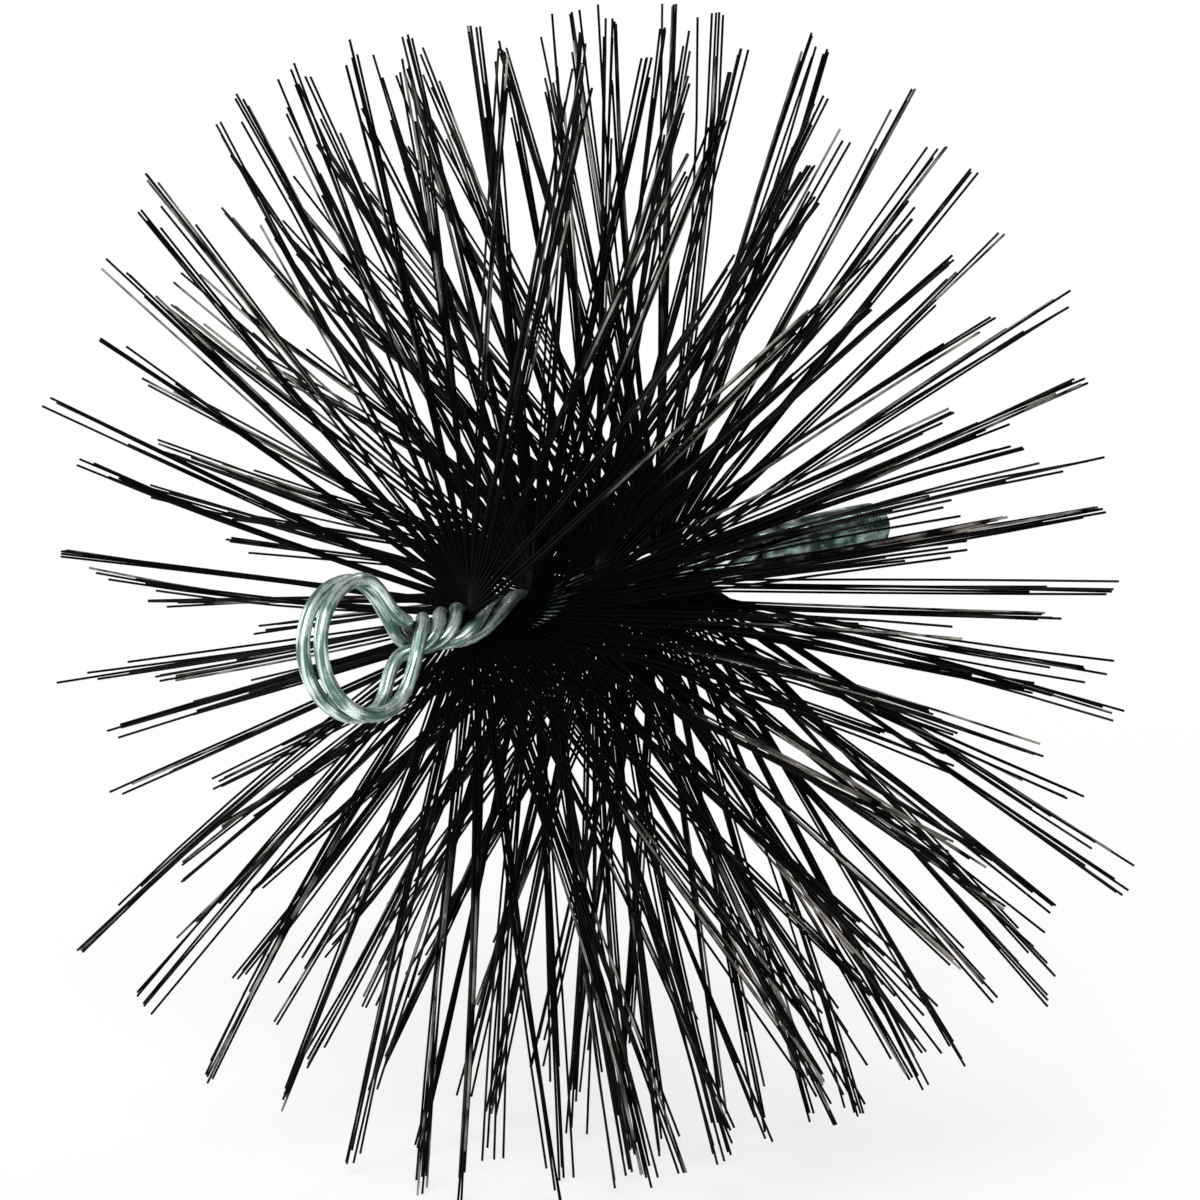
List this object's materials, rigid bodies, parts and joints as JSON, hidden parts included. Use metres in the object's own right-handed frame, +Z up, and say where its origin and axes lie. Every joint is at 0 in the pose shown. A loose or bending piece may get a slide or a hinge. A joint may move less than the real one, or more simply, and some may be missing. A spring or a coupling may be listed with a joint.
{
  "type": "chimney sweep brush",
  "caption": "Round wire chimney sweep brush on a twisted wire stem, with a pull eye at one end and a male pipe thread fitting for sweeping rods at the other.",
  "frame": {"origin": "on the ground under the middle of the brush, which lies on its bristles", "axes": "+Y along the stem towards the threaded fitting's end face, +Z up"},
  "size_m": [0.3028, 0.2416, 0.3021],
  "materials": {
    "galvanised_wire": "galvanised, bright, pale blue-green grey",
    "galvanised_fitting": "galvanised, turned",
    "tempered_bristle_wire": "oil tempered, black, satin"
  },
  "bodies": {
    "root": {"stem_wire_left": "galvanised_wire", "stem_wire_right": "galvanised_wire", "thread_fitting": "galvanised_fitting", "bristle_row_01": "tempered_bristle_wire", "bristle_row_02": "tempered_bristle_wire", "bristle_row_03": "tempered_bristle_wire", "bristle_row_04": "tempered_bristle_wire", "bristle_row_05": "tempered_bristle_wire", "bristle_row_06": "tempered_bristle_wire", "bristle_row_07": "tempered_bristle_wire", "bristle_row_08": "tempered_bristle_wire", "bristle_row_09": "tempered_bristle_wire", "bristle_row_10": "tempered_bristle_wire", "bristle_row_11": "tempered_bristle_wire", "bristle_row_12": "tempered_bristle_wire", "bristle_row_13": "tempered_bristle_wire", "bristle_row_14": "tempered_bristle_wire", "bristle_row_15": "tempered_bristle_wire", "bristle_row_16": "tempered_bristle_wire", "bristle_row_17": "tempered_bristle_wire", "bristle_row_18": "tempered_bristle_wire"}
  },
  "joints": []
}
